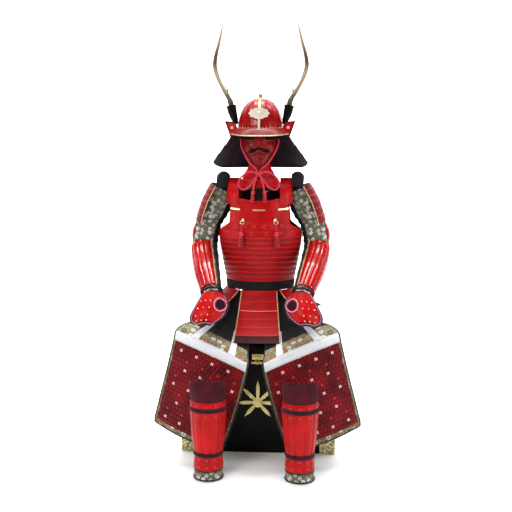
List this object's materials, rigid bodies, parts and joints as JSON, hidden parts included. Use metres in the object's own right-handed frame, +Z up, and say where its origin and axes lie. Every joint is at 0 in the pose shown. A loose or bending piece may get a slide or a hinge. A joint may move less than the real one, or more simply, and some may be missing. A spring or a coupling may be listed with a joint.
{
  "type": "samurai armour seated on its storage chest, on a plain inner stand",
  "caption": "Red-lacquered samurai armour, hollow and unworn, in a sitting pose on its black storage chest, with helmet, mask, cuirass, sleeves, skirt, thigh guards and greaves.",
  "frame": {"origin": "on the floor, under the middle of the whole armour's box", "axes": "+Z up, +X to the wearer's left, -Y is the front that faces the viewer"},
  "size_m": [0.973, 0.8188, 2.0226],
  "materials": {
    "red_lacquer": "glossy scarlet lacquer over laced plates",
    "dark_red_lacquer": "deep red lacquer with close lacing, black inside the neck guard",
    "black_lacquer": "black lacquer, half gloss",
    "gilt": "gilt metal, lightly tarnished",
    "brocade": "figured brocade in grey, cream, olive and gold",
    "white_leather": "white leather band, matt",
    "red_silk": "braided red silk",
    "black_silk": "black braided silk and cloth",
    "antler_horn": "ivory-brown antler, satin",
    "bare_wood": "plain planed wood"
  },
  "bodies": {
    "root": {"cuirass_front": "red_lacquer", "cuirass_back": "red_lacquer", "forearm_plate_left": "red_lacquer", "forearm_plate_right": "red_lacquer", "elbow_plate_left": "red_lacquer", "elbow_plate_right": "red_lacquer", "hand_guard_left": "red_lacquer", "hand_guard_right": "red_lacquer", "tasset_front": "red_lacquer", "tasset_front_side_left": "red_lacquer", "tasset_front_side_right": "red_lacquer", "tasset_side_left": "red_lacquer", "tasset_side_right": "red_lacquer", "tasset_back": "red_lacquer", "thigh_scales_left": "red_lacquer", "thigh_scales_right": "red_lacquer", "greave_plate_left": "red_lacquer", "greave_plate_right": "red_lacquer", "helmet_bowl": "red_lacquer", "helmet_peak": "red_lacquer", "face_mask": "red_lacquer", "shoulder_guard_left": "dark_red_lacquer", "shoulder_guard_right": "dark_red_lacquer", "neck_guard": "dark_red_lacquer", "knee_flap_left": "dark_red_lacquer", "knee_flap_right": "dark_red_lacquer", "chest_body": "black_lacquer", "chest_lid": "black_lacquer", "shoulder_roll_left": "black_lacquer", "shoulder_roll_right": "black_lacquer", "antler_socket_left": "black_lacquer", "antler_socket_right": "black_lacquer", "chest_rail_left": "gilt", "chest_rail_right": "gilt", "chest_clasp": "gilt", "chest_ornament": "gilt", "chest_bar_left": "gilt", "chest_bar_middle": "gilt", "chest_bar_right": "gilt", "helmet_finial": "gilt", "helmet_crest": "gilt", "sleeve_left": "brocade", "sleeve_right": "brocade", "thigh_cloth_left": "brocade", "thigh_cloth_right": "brocade", "greave_cloth_left": "brocade", "greave_cloth_right": "brocade", "thigh_band_left": "white_leather", "thigh_band_right": "white_leather", "chin_cord": "red_silk", "chest_tassel_left": "red_silk", "chest_tassel_right": "red_silk", "waist_belt": "black_silk", "greave_tie_upper_left": "black_silk", "greave_tie_upper_right": "black_silk", "greave_tie_lower_left": "black_silk", "greave_tie_lower_right": "black_silk", "antler_left": "antler_horn", "antler_right": "antler_horn", "stand": "bare_wood"}
  },
  "joints": []
}
